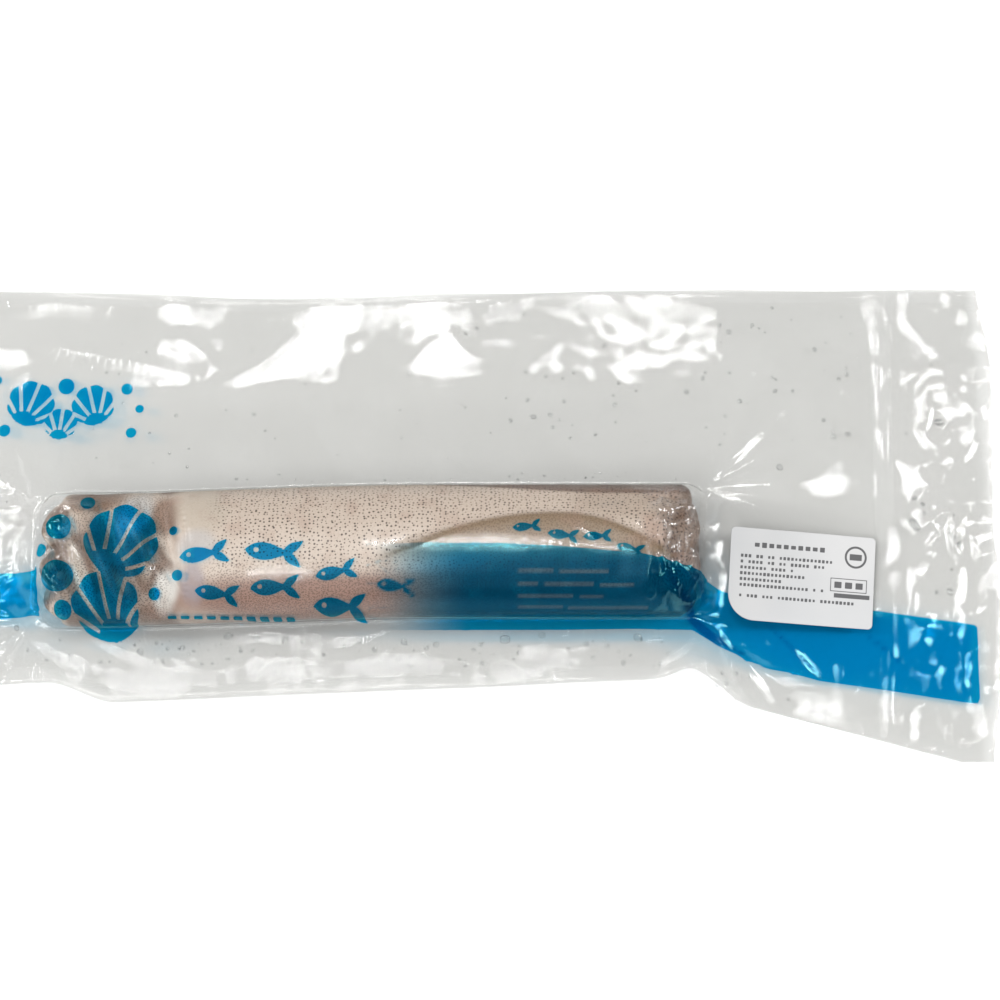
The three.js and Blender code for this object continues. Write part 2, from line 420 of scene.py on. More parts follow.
def marginFolds(x, y):
    folds = foldsAt(x, y, film["folds"]) + sum(fanFold(x, y, fan) for fan in film["fans"])
    start, run, rise, pitch = film["tail"]
    folds = folds + rise * smooth((x - start) / run) * crumple(x, y, pitch, "tail")
    nearEnd = sum(film["endShare"] * bump((x - place) / reach) for place, reach in film["ends"])
    middle, run = film["endAcross"]
    rise, pitch = film["endCrumple"]
    return folds + rise * nearEnd * bump((y - middle) / run) * crumple(x, y, pitch, "ends")


def marginHeight(x, y, isTop):
    beyond = np.maximum(squid["left"] - x, 0.0) / bag["dropLeft"]
    beyond = beyond + np.maximum(x - squid["right"], 0.0) / bag["dropRight"]
    offset = y - squidMiddle(x)
    drop = np.where(offset > 0.0, bag["dropUpper"], bag["dropLower"])
    away = np.hypot(beyond, np.maximum(np.abs(offset) - squid["halfWidth"], 0.0) / drop)
    drape = (squid["seam"] - bag["sheet"] / 2) * np.maximum(1.0 - away, 0.0) ** 2
    loose = smooth(away * film["looseness"])
    inSeal = bump((x - bag["sealAt"]) / (bag["sealWidth"] / 2))
    start, run = film["weldEdge"]
    unwelded = smooth((edgeDistance(x, y) - start) / run)
    slack = unwelded * (1.0 - inSeal) * (1.0 - film["lowerFolds"])
    folds = marginFolds(x, y) * np.where(isTop, 1.0, 1.0 - slack)
    height = drape + (ripple(x, y) + bag["sealRidge"] * inSeal) * loose + folds
    height = height + np.where(isTop, bridgeHeight(x, y), 0.0)
    for rise, pitch, layer in film["sags"]:
        height = height + rise * loose * cloud(x, y, pitch, layer)
    rise, along, across, pitch, floor = film["pucker"]
    height = height + rise * inSeal * np.maximum(cloud(x * along, y * across, pitch, "weld"), floor)
    height = blendTo(height, labelPlane(x), labelHold(x, y))
    gap = film["weldGap"] + (bag["sheet"] - film["weldGap"]) * unwelded
    middle = bag["sheet"] / 2 + np.maximum(height, 0.0)
    return middle + np.where(isTop, gap / 2, -gap / 2)


def bodyTop(x, y):  # the squid's upper side with the film drawn tight on it
    half = bag["sheet"] / 2
    reach = squidReach(x, y)
    body = (squid["thickness"] - squid["seam"] - half) * dome(reach, squid["topCorner"])
    relief = squidRelief(x, y) * (1.0 - np.minimum(reach, 1.0) ** squid["reliefFade"])
    return squid["seam"] + half + body + relief


def clingHeight(x, y):  # how far wrinkles lift the film off the squid
    tailFrom, tailRun, headFrom, headRun, headShare = film["clingEnds"]
    atEnds = smooth((x - tailFrom) / tailRun) + headShare * smooth((headFrom - x) / headRun)
    rise, pitch = film["endCrumple"]
    return foldsAt(x, y, film["clingFolds"]) + rise * atEnds * crumple(x, y, pitch, "cling")


def tightness(x, y):  # 1 where the film is drawn tight on the skin, 0 where a fold lifts it
    loose = sum(creaseAt(x, y, curve, width) for curve, width, rise in film["clingFolds"])
    waver, pitch = film["liftWaver"]
    loose = loose * (1.0 + waver * cloud(x, y, pitch, "lift"))
    high, looser = film["liftHigh"]
    loose = loose + looser * (clingHeight(x, y) > high)
    return smooth((1.0 - squidReach(x, y)) / film["tightRim"]) * (1.0 - smooth(loose / film["liftFull"]))


def endWarp(x, y):  # the film stands off the squid's ends unevenly
    most, level, waver, pitch, run = film["endGap"]
    uneven = most * (level + waver * cloud(np.zeros(x.shape), y, pitch, "gap")).clip(0.0, 1.0)
    return uneven * (bump((x - squid["left"]) / run) - bump((x - squid["right"]) / run))


def filmHeight(x, y, isTop):
    half = bag["sheet"] / 2
    x = x + endWarp(x, y)
    reach = squidReach(x, y)
    inner = smooth((1.0 - reach) / film["rim"])
    over = bodyTop(x, y) + clingHeight(x, y) * inner
    over = np.maximum(over, squid["seam"] + half + bridgeHeight(x, y))
    pressed = 1.0 - squid["underFlat"] * dome(reach, squid["underCorner"])
    under = np.maximum((squid["seam"] - half) * pressed, 0.0)
    onSquid = np.where(isTop, over, under)
    return np.where(reach >= 1.0, marginHeight(x, y, isTop), onSquid)


def spread(index, counts, stops):  # place of a grid line among three runs of lines
    first, second, third = counts
    a, b, c, d = stops
    inMiddle = (index - first) / second
    even = 2.0 * inMiddle - 1.0
    closer = blendTo(even, np.sin(np.clip(even, -1.0, 1.0) * np.pi / 2), film["closer"])
    middle = blendTo(b, c, (closer + 1.0) / 2.0)
    before = blendTo(a, b, index / first)
    after = blendTo(c, d, (index - first - second) / third)
    return np.where(index < first, before, np.where(index > first + second, after, middle))


def filmPlaces(bm):
    columns = sum(film["columns"])
    rows = sum(film["rows"])
    flat = np.array([v.co for v in bm.verts])
    isTop = flat[:, 2] > flat[:, 2].mean()
    column = (flat[:, 0] + 0.5) * columns
    row = (flat[:, 1] + 0.5) * rows
    stops = (bag["left"], squid["left"], squid["right"], bag["right"])
    station = spread(column, film["columns"], stops)
    middle, half = squidMiddle(station), squid["halfWidth"]
    stops = (lowerEdge(station), middle - half, middle + half, upperEdge(station))
    y = spread(row, film["rows"], stops)
    share = np.maximum(station - squid["right"], 0.0) / (bag["right"] - squid["right"])
    x = station + (trimmedEnd(y) - bag["right"]) * share
    return x, y, isTop


def halveUpper(bm, window):  # halves the upper layer's cells inside a window
    x, y, isTop = filmPlaces(bm)
    (left, right), (low, high) = window
    inside = isTop & (x > left) & (x < right) & (y > low) & (y < high)
    bm.verts.index_update()
    edges = [edge for edge in bm.edges if all(inside[vert.index] for vert in edge.verts)]
    bmesh.ops.subdivide_edges(bm, edges=edges, cuts=1, use_grid_fill=True)


# Print on the film: how far each point lies inside the ink, and how dense the ink is there

ink = {
    "band": [  # along the bag: lower and upper line of the band
        (-230.0, -40.0, -20.0),
        (-172.0, -41.0, -23.0),
        (-60.0, -46.0, -14.5),
        (19.0, -46.0, -14.6),
        (43.0, -46.0, -15.8),
        (74.0, -45.6, -18.6),
        (97.0, -46.0, -24.5),
        (110.0, -53.4, -30.0),
        (123.0, -58.5, -33.0),
        (149.0, -65.5, -35.2),
        (175.0, -69.1, -37.0),
        (215.0, -75.2, -42.4),
    ],
    "bandEnds": (-166.0, -34.0, 215.0),  # left stretch ends, middle stretch fades in, right end
    "fade": 42.0,
    "soft": (0.5, 0.8),  # edges of the lighter dashes, and of the motifs on the band
    "folds": [  # curve, width, depth: darker lines where the printed film lies double
        (((83, -20), (90, -38), (112, -55)), 1.3, 1.2),
        (((94, -17), (99, -26), (101, -38)), 2.6, 0.9),
        (((93, -40), (106, -50), (124, -58)), 0.9, 1.1),
        (((126, -41), (138, -53), (152, -66)), 0.8, 0.6),
        (((166, -45), (178, -53), (186, -61)), 0.7, 0.6),
    ],
    "discs": [  # x, y, radius: bubbles around the shells
        (-161.5, 57.5, 3.4),
        (-186.5, 38.5, 2.6),
        (-136.0, 56.0, 2.4),
        (-130.5, 47.5, 1.8),
        (-133.5, 37.0, 2.2),
        (-190.0, 60.0, 1.8),
        (-157.0, -7.0, 5.2),
        (-157.0, -27.0, 6.4),
        (-146.0, 3.0, 2.8),
        (-111.0, -9.0, 1.8),
        (-109.0, -27.0, 2.2),
        (-164.0, -16.5, 2.6),
        (-118.5, -34.0, 2.4),
        (-155.0, -40.0, 3.6),
    ],
    "shells": [  # x, y, radius, turn
        (-176.0, 50.0, 10.0, 20.0),
        (-150.0, 49.0, 9.0, -15.0),
        (-163.0, 41.0, 7.0, 5.0),
        (-131.5, -13.0, 15.0, 30.0),
        (-138.0, -38.0, 13.5, -10.0),
    ],
    "rib": (24.0, 1.5, 0.6),  # angle between a shell's ribs, their line, share without them
    "scallop": 0.03,
    "leaf": (0.2, 0.75),  # half width of its length, fullness
    "fishParts": (0.8, 0.7, 0.42, 36.0),  # shares of the length: body, tail's place, tail; its angle
    "eye": (0.2, 0.05, 0.4),  # shares of the length: place, radius; how far aside
    "fish": [  # x, y of the nose, length, heading
        (-108.0, -20.0, 19.0, 82.0),
        (-102.0, -33.0, 17.0, 97.0),
        (-82.0, -17.0, 22.0, 95.0),
        (-80.0, -32.0, 19.0, 88.0),
        (-55.0, -38.5, 20.0, 91.0),
        (-54.0, -27.5, 16.0, 78.0),
        (-30.0, -30.5, 15.0, 96.0),
        (24.0, -8.5, 11.0, 84.0),
        (38.0, -10.5, 12.0, 98.0),
        (52.0, -12.0, 11.0, 88.0),
        (65.0, -15.5, 11.0, 104.0),
    ],
    "dashes": (-112.0, -61.0, -42.6, 3.6, 5.2, 1.0),  # from, to, level, length, pitch, thickness
    "ruleLight": 0.42,
    "rules": [  # x from, x to, y, thickness: lighter dashes on the band
        (26.0, 40.0, -25.5, 1.5),
        (42.5, 62.0, -25.7, 1.5),
        (26.0, 34.0, -30.5, 1.4),
        (36.5, 56.0, -30.6, 1.4),
        (58.5, 72.0, -31.0, 1.4),
        (26.0, 48.0, -35.0, 1.2),
        (50.5, 60.0, -35.2, 1.2),
        (26.0, 44.0, -38.7, 1.0),
        (46.0, 78.0, -39.0, 1.0),
    ],
}


def bandInside(x, y):
    stations, low, high = (np.array(line) for line in zip(*ink["band"]))
    leftEnd, fadeFrom, rightEnd = ink["bandEnds"]
    inBand = np.minimum(y - np.interp(x, stations, low), np.interp(x, stations, high) - y)
    inLeft = leftEnd - x
    inRight = np.minimum(x - fadeFrom, rightEnd - x)
    return np.minimum(inBand, np.maximum(inLeft, inRight))


def leafInside(x, y, footX, footY, length, direction):  # a pointed leaf, widest before its middle
    c, s = math.cos(math.radians(direction)), math.sin(math.radians(direction))
    along = ((y - footY) * c + (x - footX) * s) / length
    aside = np.abs((x - footX) * c - (y - footY) * s)
    half, fullness = ink["leaf"]
    width = half * length * np.sin(np.pi * np.clip(along, 0.0, 1.0) ** fullness)
    return np.where((along > 0.0) & (along < 1.0), width - aside, -aside - 0.1)


def shellInside(x, y, midX, midY, radius, turn):  # a round shell, its ribs fanning from its foot
    pitch, line, plain = ink["rib"]
    aim, step = math.radians(turn), math.radians(pitch)
    footX, footY = midX - math.sin(aim) * radius, midY - math.cos(aim) * radius
    away = np.hypot(x - footX, y - footY)
    ribs = (np.arctan2(x - footX, y - footY) - aim) / step
    fromRib = np.abs((ribs + 0.5) % 1.0 - 0.5) * step * away
    cut = np.where(away > radius * plain, fromRib - line / 2, 1e3)
    rim = radius * (1.0 - ink["scallop"] - ink["scallop"] * np.cos(2.0 * np.pi * ribs))
    return np.minimum(rim - np.hypot(x - midX, y - midY), cut)


def fishInside(x, y, noseX, noseY, length, heading):
    c, s = math.cos(math.radians(heading)), math.sin(math.radians(heading))
    bodyShare, rootShare, tailShare, tailTurn = ink["fishParts"]
    body = leafInside(x, y, noseX, noseY, length * bodyShare, heading)
    rootX, rootY = noseX + s * length * rootShare, noseY + c * length * rootShare
    for turn in (-tailTurn, tailTurn):
        body = np.maximum(body, leafInside(x, y, rootX, rootY, length * tailShare, heading + turn))
    back, size, aside = ink["eye"]
    eyeX, eyeY = noseX + s * length * back - c * aside, noseY + c * length * back + s * aside
    return np.minimum(body, np.hypot(x - eyeX, y - eyeY) - length * size)


def inkInside(x, y):
    shapes = np.full(x.shape, -1e3)
    for cx, cy, radius in ink["discs"]:
        shapes = np.maximum(shapes, radius - np.hypot(x - cx, y - cy))
    for cx, cy, radius, turn in ink["shells"]:
        shapes = np.maximum(shapes, shellInside(x, y, cx, cy, radius, turn))
    for noseX, noseY, length, heading in ink["fish"]:
        shapes = np.maximum(shapes, fishInside(x, y, noseX, noseY, length, heading))
    start, end, level, length, pitch, thickness = ink["dashes"]
    for place in np.arange(start, end, pitch):
        dash = np.minimum(length / 2 - np.abs(x - place), thickness / 2 - np.abs(y - level))
        shapes = np.maximum(shapes, dash)
    return np.maximum(bandInside(x, y), shapes), shapes


def inkDensity(x, y, shapes):
    leftEnd, fadeFrom, rightEnd = ink["bandEnds"]
    ruleSoft, motifSoft = ink["soft"]
    fading = smooth((x - fadeFrom) / ink["fade"])
    onBand = (bandInside(x, y) > -ruleSoft) & (x > (leftEnd + fadeFrom) / 2)
    ruled = np.zeros(x.shape)
    for start, end, level, thickness in ink["rules"]:
        inside = np.minimum(thickness / 2 - np.abs(y - level), np.minimum(x - start, end - x))
        ruled = np.maximum(ruled, stepUp(inside, ruleSoft))
    onBandDensity = np.maximum(fading * (1.0 - ink["ruleLight"] * ruled), stepUp(shapes, motifSoft))
    folded = sum(depth * creaseAt(x, y, curve, width) for curve, width, depth in ink["folds"])
    return np.where(onBand, onBandDensity + folded, 1.0)


# Node helpers

def newMaterial(name):
    material = bpy.data.materials.new(name)
    material.use_nodes = True
    material.node_tree.nodes.clear()
    return material, material.node_tree


def add(tree, kind, inputs, **settings):
    made = tree.nodes.new(kind)
    for key, value in settings.items():
        setattr(made, key, value)
    for key, value in inputs.items():
        if isinstance(value, bpy.types.NodeSocket):
            tree.links.new(value, made.inputs[key])
        else:
            made.inputs[key].default_value = value
    return made


def maths(tree, operation, a, b=0.0):
    return add(tree, "ShaderNodeMath", {0: a, 1: b}, operation=operation).outputs[0]


def ramp(tree, value, low, high, start=0.0, end=1.0):
    inputs = {"Value": value, "From Min": low, "From Max": high, "To Min": start, "To Max": end}
    return add(tree, "ShaderNodeMapRange", inputs, interpolation_type="SMOOTHSTEP").outputs[0]


def mixColour(tree, amount, a, b):
    made = add(tree, "ShaderNodeMix", {0: amount, 6: a, 7: b}, data_type="RGBA")
    return made.outputs[2]


def mixValue(tree, amount, a, b):
    return add(tree, "ShaderNodeMix", {0: amount, 2: a, 3: b}, data_type="FLOAT").outputs[0]


def attribute(tree, name):
    return add(tree, "ShaderNodeAttribute", {}, attribute_name=name)


def objectPlace(tree):
    return add(tree, "ShaderNodeTexCoord", {}).outputs["Object"]


def flatNoise(tree, place, scale):
    inputs = {"Vector": place, "Scale": scale, "Detail": 0.0}
    return add(tree, "ShaderNodeTexNoise", inputs, noise_dimensions="2D").outputs[0]


def spaceNoise(tree, place, scale, detail):
    inputs = {"Vector": place, "Scale": scale, "Detail": detail}
    return add(tree, "ShaderNodeTexNoise", inputs).outputs[0]


def bumped(tree, height, strength, distance):
    inputs = {"Height": height, "Strength": strength, "Distance": distance}
    return add(tree, "ShaderNodeBump", inputs).outputs[0]


def output(tree, shader):
    add(tree, "ShaderNodeOutputMaterial", {"Surface": shader})


# Finishing of a piece: metres, smooth faces, material, and its tie to the frame

def finishPiece(bm, name, material, replaced=None, attributes=None):
    bmesh.ops.scale(bm, vec=(mm, mm, mm), verts=bm.verts)
    for face in bm.faces:
        face.smooth = True
    mesh = bpy.data.meshes.new(name)
    bm.to_mesh(mesh)
    bm.free()
    for key, values in (attributes or {}).items():
        kind, field = ("FLOAT", "value") if values.ndim == 1 else ("FLOAT_COLOR", "color")
        if kind == "FLOAT_COLOR":
            values = np.column_stack([values, np.ones(len(values))]).ravel()
        mesh.attributes.new(key, kind, "POINT").data.foreach_set(field, values.astype(np.float32))
    mesh.materials.append(material)
    piece = bpy.data.objects.new(name, mesh)
    scene.collection.objects.link(piece)
    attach(piece, "root")
    if replaced:
        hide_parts(replaced)
    print("made", name, len(mesh.polygons), "faces")
    return piece


def move(bm, x, y, z):
    for vert, place in zip(bm.verts, np.column_stack([x, y, z]).tolist()):
        vert.co = place


filmLook = {
    "clear": (0.886, 0.887, 0.877, 1.0),  # what one layer lets through of what is behind it
    "inkClear": (0.006, 0.48, 0.75, 1.0),
    "inkDeep": (0.0, 0.17, 0.45, 1.0),  # where the printed film lies double
    "inkShine": (0.4, 1.0, 1.0, 1.0),
    "shade": (0.75, 0.75, 0.745, 1.0),  # what one layer lets through of a lamp's light
    "inkShade": (0.03, 0.43, 0.67, 1.0),
    "haze": (0.80, 0.80, 0.79, 1.0),
    "inkHaze": (0.0, 0.20, 0.42, 1.0),
    "hazeShare": (0.04, 0.07),
    "hazeScale": 40.0,
    "hazeAt": (0.35, 0.7),  # of the clouds: where the haze begins and is full
    "weldShare": 0.05,
    "clingShare": 0.015,
    "inkShare": 0.06,
    "inkEdge": 0.09,
    "deepAt": (1.0, 1.9),  # densities between which the ink goes deep
    "mirror": (0.05, 0.15),  # loose film: seen straight on, and more at a slant
    "slant": 3.0,
    "tightMirror": 0.22,  # share of that where the film is drawn tight on wet skin
    "roughness": (0.07, 0.36),  # loose film, film drawn tight on the skin
    "embossPitch": 1.0,
    "embossShare": 0.06,
    "dimpleScale": 160.0,
    "relief": (0.5, 0.0005),  # strength, depth
}


def filmMaterial():
    material, tree = newMaterial("clear_film")
    place = objectPlace(tree)
    edge = attribute(tree, "inkInside").outputs["Fac"]
    density = attribute(tree, "inkDensity").outputs["Fac"]
    weld = attribute(tree, "weld").outputs["Fac"]
    cling = attribute(tree, "cling").outputs["Fac"]
    inked = ramp(tree, edge, -filmLook["inkEdge"], filmLook["inkEdge"])
    inked = maths(tree, "MULTIPLY", inked, maths(tree, "MINIMUM", density, 1.0))
    deep = ramp(tree, density, *filmLook["deepAt"])
    printed = mixColour(tree, deep, filmLook["inkClear"], filmLook["inkDeep"])
    clouds = flatNoise(tree, place, filmLook["hazeScale"])
    dull = ramp(tree, clouds, *filmLook["hazeAt"], *filmLook["hazeShare"])
    dull = maths(tree, "ADD", dull, maths(tree, "MULTIPLY", weld, filmLook["weldShare"]))
    dull = mixValue(tree, cling, dull, filmLook["clingShare"])
    through = mixColour(tree, inked, filmLook["clear"], printed)
    dullColour = mixColour(tree, inked, filmLook["haze"], filmLook["inkHaze"])
    share = mixValue(tree, inked, dull, filmLook["inkShare"])
    across = add(tree, "ShaderNodeSeparateXYZ", {0: place})
    turns = 2.0 * math.pi / (filmLook["embossPitch"] * mm)
    rows = [maths(tree, "SINE", maths(tree, "MULTIPLY", across.outputs[axis], turns)) for axis in (0, 1)]
    emboss = maths(tree, "MULTIPLY", maths(tree, "MULTIPLY", *rows), filmLook["embossShare"])
    height = maths(tree, "ADD", flatNoise(tree, place, filmLook["dimpleScale"]), emboss)
    normal = bumped(tree, height, *filmLook["relief"])
    see = add(tree, "ShaderNodeBsdfTransparent", {"Color": through}).outputs[0]
    matt = add(tree, "ShaderNodeBsdfDiffuse", {"Color": dullColour}).outputs[0]
    body = add(tree, "ShaderNodeMixShader", {0: share, 1: see, 2: matt}).outputs[0]
    roughness = mixValue(tree, cling, *filmLook["roughness"])
    inputs = {"Color": mixColour(tree, inked, (1.0, 1.0, 1.0, 1.0), filmLook["inkShine"])}
    inputs |= {"Roughness": roughness, "Normal": normal}
    shine = add(tree, "ShaderNodeBsdfAnisotropic", inputs).outputs[0]
    facing = add(tree, "ShaderNodeLayerWeight", {"Blend": 0.5, "Normal": normal}).outputs["Facing"]
    straight, slanted = filmLook["mirror"]
    slant = maths(tree, "MULTIPLY", maths(tree, "POWER", facing, filmLook["slant"]), slanted)
    mirror = maths(tree, "ADD", slant, straight)
    mirror = maths(tree, "MULTIPLY", mirror, mixValue(tree, cling, 1.0, filmLook["tightMirror"]))
    whole = add(tree, "ShaderNodeMixShader", {0: mirror, 1: body, 2: shine}).outputs[0]
    tint = mixColour(tree, inked, filmLook["shade"], filmLook["inkShade"])
    pane = add(tree, "ShaderNodeBsdfTransparent", {"Color": tint}).outputs[0]
    fromLamp = add(tree, "ShaderNodeLightPath", {}).outputs["Is Shadow Ray"]  # spares time on lamp rays
    output(tree, add(tree, "ShaderNodeMixShader", {0: fromLamp, 1: whole, 2: pane}).outputs[0])
    return material


def makeFilm():
    bm = bmesh.new()
    bmesh.ops.create_grid(bm, x_segments=sum(film["columns"]), y_segments=sum(film["rows"]), size=0.5)
    bmesh.ops.solidify(bm, geom=bm.verts[:] + bm.edges[:] + bm.faces[:], thickness=0.1)
    for window in film["halved"]:
        halveUpper(bm, window)
    x, y, isTop = filmPlaces(bm)
    move(bm, x, y, filmHeight(x, y, isTop))
    bmesh.ops.recalc_face_normals(bm, faces=bm.faces)
    reach, run = film["weldLook"]
    sealed = smooth((reach - edgeDistance(x, y)) / run)
    sealed = np.maximum(sealed, stepUp(bag["sealWidth"] / 2 - np.abs(x - bag["sealAt"]), run))
    inside, shapes = inkInside(x, y)
    values = {
        "inkInside": np.where(isTop, inside, outside),
        "inkDensity": inkDensity(x, y, shapes),
        "weld": sealed,
        "cling": np.where(isTop, tightness(x, y), 0.0),
    }
    return finishPiece(bm, "bag_film", filmMaterial(), "sealed_bag", values)


# Squid: mantle, folded fins, head and arms pressed into one long block

skin = {
    "around": 180,
    "along": 420,
    "closer": 0.55,  # how much closer the rings stand at the squid's ends
    "clearance": 0.6,  # inside the film
    "capCorner": 3.0,  # how square the ends and the section are
    "corner": 0.8,
    "underReach": 1.1,  # more than 1 presses the underside flat
    "lump": 5.0,  # how far the arms' ends lie back from the outermost one
    "lumpPitch": 17.0,
    "lumpLean": 0.6,
    "tailLump": 0.5,
    "upperSide": (2.0, 0.6),  # creases and dents fade out down the sides
    "dents": (0.35, 7.0),  # depth, pitch
    "creases": [  # curve, width, depth: between arms, at the collar and in the crumpled tail
        (((-166, 0), (-156, -16), (-146, -44)), 1.6, 3.4),
        (((-158, 8), (-148, -10), (-138, -44)), 1.5, 3.0),
        (((-146, 9), (-136, -12), (-128, -44)), 1.6, 3.6),
        (((-127, 8), (-119, -10), (-119, -44)), 1.8, 3.4),
        (((-110, 9), (-103, -18), (-107, -44)), 1.8, 2.6),
        (((-120, -20), (-112, -24), (-104, -40)), 1.2, 1.8),
        (((84, 11), (76, -8), (86, -22)), 1.4, 2.0),
        (((96, 9), (86, 0), (90, -20)), 1.4, 2.4),
        (((74, 9), (84, 2), (97, 5)), 1.2, 1.6),
        (((90, -12), (80, -24), (92, -38)), 1.4, 1.8),
    ],
    "patches": [  # x, y, half length, half width, turn, colour, strength
        (-40.0, -36.0, 76.0, 9.5, 0.0, (0.29, 0.155, 0.118), 0.88),
        # dark brown under the print on the steep front side: partly the skin's own colour, partly painted
        # shade of that side
        (50.0, -32.0, 72.0, 16.0, 0.0, (0.115, 0.07, 0.062), 0.96),
        (-141.0, -24.0, 22.0, 20.0, 0.0, (0.17, 0.115, 0.085), 0.7),
        (-144.0, 4.0, 13.0, 5.0, 5.0, (0.24, 0.155, 0.11), 0.85),
        (-115.0, -3.0, 6.0, 8.0, 0.0, (0.25, 0.16, 0.115), 0.9),
        (-127.0, -2.0, 6.0, 10.0, -25.0, (0.56, 0.54, 0.52), 0.85),
        (-100.0, -1.0, 10.0, 10.0, 0.0, (0.53, 0.455, 0.38), 0.85),
        (-101.0, -16.0, 8.0, 7.0, 0.0, (0.50, 0.47, 0.46), 0.8),
        (-114.0, -33.0, 5.0, 8.0, -12.0, (0.68, 0.65, 0.61), 0.95),
        (-103.0, -30.0, 5.0, 8.0, 0.0, (0.34, 0.29, 0.31), 0.8),
        (-148.0, -26.0, 3.0, 13.0, 20.0, (0.56, 0.48, 0.40), 0.85),
        (92.0, -4.0, 11.0, 17.0, 0.0, (0.17, 0.105, 0.072), 0.88),
        # painted highlight: a small pale pink patch, lit up on the dark right end
        (80.0, -9.0, 4.0, 7.0, 15.0, (0.50, 0.37, 0.30), 0.7),
        (70.0, 4.0, 22.0, 8.0, 0.0, (0.40, 0.315, 0.25), 0.6),
    ],
    "patchEdge": (1.35, 0.7),  # reach, softness
    "base": (0.585, 0.485, 0.41),
    "fin": (0.215, 0.14, 0.075),
    "mottle": (0.17, 0.105, 0.075),  # brown clouds on the arms and the tail
    "mottlePitch": 11.0,
    "mottleEdge": (0.22, 0.3),
    "back": (0.13, 0.075, 0.055),
    "overlay": 0.85,  # strength of the fin, the back and the mottle
    "finEdge": 1.6,
    "finTaper": (14.0, 10.0),
    "finFront": (-24.0, 8.0),  # the fin's colour ends here on the front side, over this run
    "front": (-19.0, 9.0),  # the brown front side begins here, over this run
    "head": (-106.0, 8.0),
    "tail": (76.0, 14.0),
    "backEdge": (0.77, 5.0, -24.0, 90.0),  # share of the half width, narrower by, from, over
    "backSoft": (1.2, 12.0, 8.0),  # along its edge, at its two ends
    "spot": (0.035, 0.018, 0.014, 1.0),
    "spotPitch": 1.8,
    "spotSize": (0.15, 0.27),
    "spotSoft": (-0.02, 0.08),
    "spotsFrom": (-99.0, 10.0),
    "spotsLeft": (0.08, 0.85, 0.5),  # share on the head, and how far the fin and the front hide them
    "specklePitch": 1.1,
    "speckleSize": (0.36, 0.18),
    "specklesAtTail": (80.0, 10.0),
    "speckles": (0.45, 0.5, 0.3, 0.4),  # on the front, the head, the fin, the tail
    "speckleRange": (0.12, 0.75),
    "plainCollar": 0.4,
    "markStrength": 0.88,
    "blotch": (0.36, 0.22, 0.165, 1.0),
    "blotchScale": 110.0,
    "blotchAt": (0.45, 0.75, 0.0, 0.3),  # of the noise: begins and is full, least and most
    "grainScale": 600.0,
    "grain": (0.35, 0.0003),  # strength, depth
    "wet": (0.3, 0.7, 0.32, 0.5),
}


def finAmount(x, y):  # 1 on the fin that lies folded over the mantle
    fin = stepUp(finEdge(x) - y, skin["finEdge"]) * within(x, forms["finEnds"], skin["finTaper"])
    end, run = skin["finFront"]
    return fin * smooth((y - end) / run)


def frontAmount(y):  # 1 on the brown front side, below the ridge
    start, run = skin["front"]
    return smooth((start - y) / run)


def headAmount(x):
    start, run = skin["head"]
    return smooth((start - x) / run)


def backAmount(x, y):  # 1 on the dark strip of the far fin, along the back
    share, narrower, start, run = skin["backEdge"]
    edge = squidMiddle(x) + squid["halfWidth"] * share + narrower * (1.0 - smooth((x - start) / run))
    soft, *ends = skin["backSoft"]
    return stepUp(y - edge, soft) * within(x, (start, squid["right"]), ends)


def skinTonesWithPaintedLight(x, y):
    tone = np.tile(np.array(skin["base"]), (len(x), 1))
    (start, run), (level, soft) = skin["tail"], skin["mottleEdge"]
    ends = headAmount(x) + smooth((x - start) / run)
    mottle = skin["overlay"] * ends * smooth((cloud(x, y, skin["mottlePitch"], "mottle") + level) / soft)
    tone = blendTo(tone, np.array(skin["mottle"]), mottle[:, None])
    # patches of skin colour, among them a painted highlight on the right end and painted shade on the
    # front side
    for px, py, halfLong, halfWide, turn, colour, strength in skin["patches"]:
        c, s = math.cos(math.radians(turn)), math.sin(math.radians(turn))
        u = ((x - px) * c + (y - py) * s) / halfLong
        v = ((y - py) * c - (x - px) * s) / halfWide
        reach, soft = skin["patchEdge"]
        amount = strength * smooth((reach - np.hypot(u, v)) / soft)
        tone = blendTo(tone, np.array(colour), amount[:, None])
    tone = blendTo(tone, np.array(skin["back"]), skin["overlay"] * backAmount(x, y)[:, None])
    return blendTo(tone, np.array(skin["fin"]), skin["overlay"] * finAmount(x, y)[:, None])


